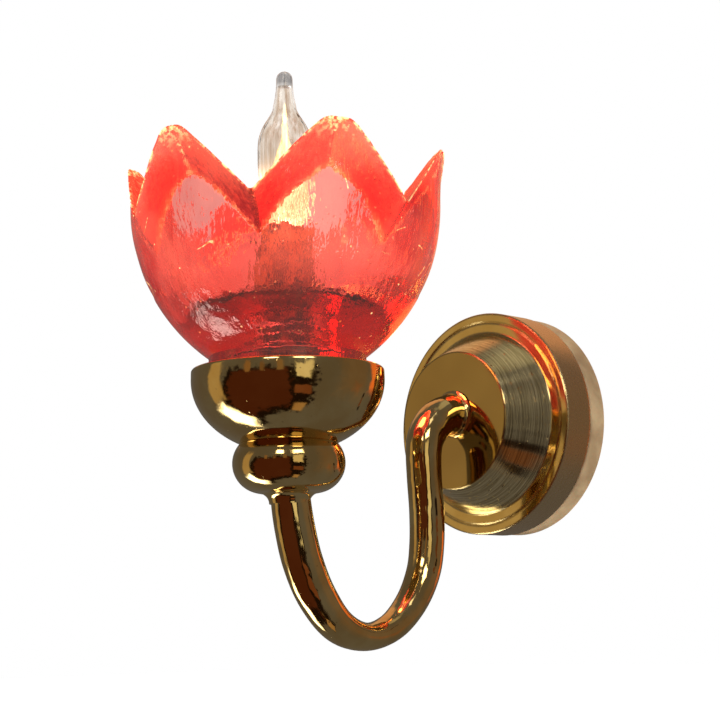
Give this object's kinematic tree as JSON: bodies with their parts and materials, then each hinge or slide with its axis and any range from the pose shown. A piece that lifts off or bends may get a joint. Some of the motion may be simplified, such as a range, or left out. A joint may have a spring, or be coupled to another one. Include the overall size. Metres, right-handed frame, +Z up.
{
  "type": "sanctuary lamp",
  "caption": "Electric wall lamp: round brass rose, swan-neck arm and cup carrying a thick red glass shade cut into pointed petals round a flame-tip candle bulb.",
  "frame": {"origin": "centre of the back plate's wall face", "axes": "+Z up, +Y into the wall (the lamp projects along -Y), X across the wall; the middle plane is x = 0"},
  "size_m": [0.144, 0.2324, 0.2691],
  "materials": {
    "back_plate": "frosted white, softly glossy",
    "strap": "zinc plated",
    "plate_screws": "zinc plated",
    "terminal_block": "natural polyamide",
    "terminal_screws": "bright",
    "earth_screw": "bright",
    "earth_wire": "green insulation",
    "rose": "polished face, lathe-brushed cone, satin rim",
    "grub_screw": "dull",
    "arm": "polished",
    "arm_nipple": "machined",
    "arm_washer": "zinc plated",
    "arm_nut": "machined",
    "bead": "polished",
    "cup": "polished",
    "cup_nipple": "machined",
    "cup_washer": "zinc plated",
    "cup_nut": "machined",
    "felt_ring": "brown felt",
    "holder_stem": "zinc plated",
    "holder_body": "moulded, off-white",
    "screw_shell": "bright",
    "contact_spring": "bright",
    "candle_sleeve": "amber brown, streaked",
    "live_wire": "brown insulation",
    "neutral_wire": "blue insulation",
    "shade": "thick ruby glass, clear, with seeds and tool marks at the cut edges",
    "bulb_glass": "clear",
    "bulb_cap": "nickel plated",
    "bulb_insulator": "black vitrite",
    "bulb_contact": "tinned solder",
    "bulb_stem": "clear",
    "filament": "incandescent"
  },
  "bodies": {
    "fixture": {"back_plate": "back_plate", "strap": "strap", "plate_screws": "plate_screws", "terminal_block": "terminal_block", "terminal_screws": "terminal_screws", "earth_screw": "earth_screw", "earth_wire": "earth_wire", "rose": "rose", "grub_screw": "grub_screw", "arm": "arm", "arm_nipple": "arm_nipple", "arm_washer": "arm_washer", "arm_nut": "arm_nut", "bead": "bead", "cup": "cup", "cup_nipple": "cup_nipple", "cup_washer": "cup_washer", "cup_nut": "cup_nut", "felt_ring": "felt_ring", "holder_stem": "holder_stem", "holder_body": "holder_body", "screw_shell": "screw_shell", "contact_spring": "contact_spring", "candle_sleeve": "candle_sleeve", "live_wire": "live_wire", "neutral_wire": "neutral_wire"},
    "shade": {"shade": "shade"},
    "bulb_thread": {"bulb_contact": "bulb_contact", "bulb_insulator": "bulb_insulator"},
    "bulb": {"bulb_glass": "bulb_glass", "bulb_cap": "bulb_cap", "bulb_stem": "bulb_stem", "filament": "filament"}
  },
  "joints": [
    {"name": "shade_lift", "type": "slide", "parent": "fixture", "child": "shade", "axis": [0, 0, 1], "range_m": [0, 0.16]},
    {"name": "bulb_rise", "type": "slide", "parent": "fixture", "child": "bulb_thread", "axis": [0, 0, 1], "range_m": [0, 0.01016]},
    {"name": "bulb_turn", "type": "hinge", "parent": "bulb_thread", "child": "bulb", "pos_m": [0, -0.1585, 0.07], "axis": [0, 0, 1], "range_deg": [0, 1440]}
  ],
  "couplings": [
    {"joint": "bulb_turn", "follows": "bulb_rise", "rad_per_m": 2473.7}
  ]
}
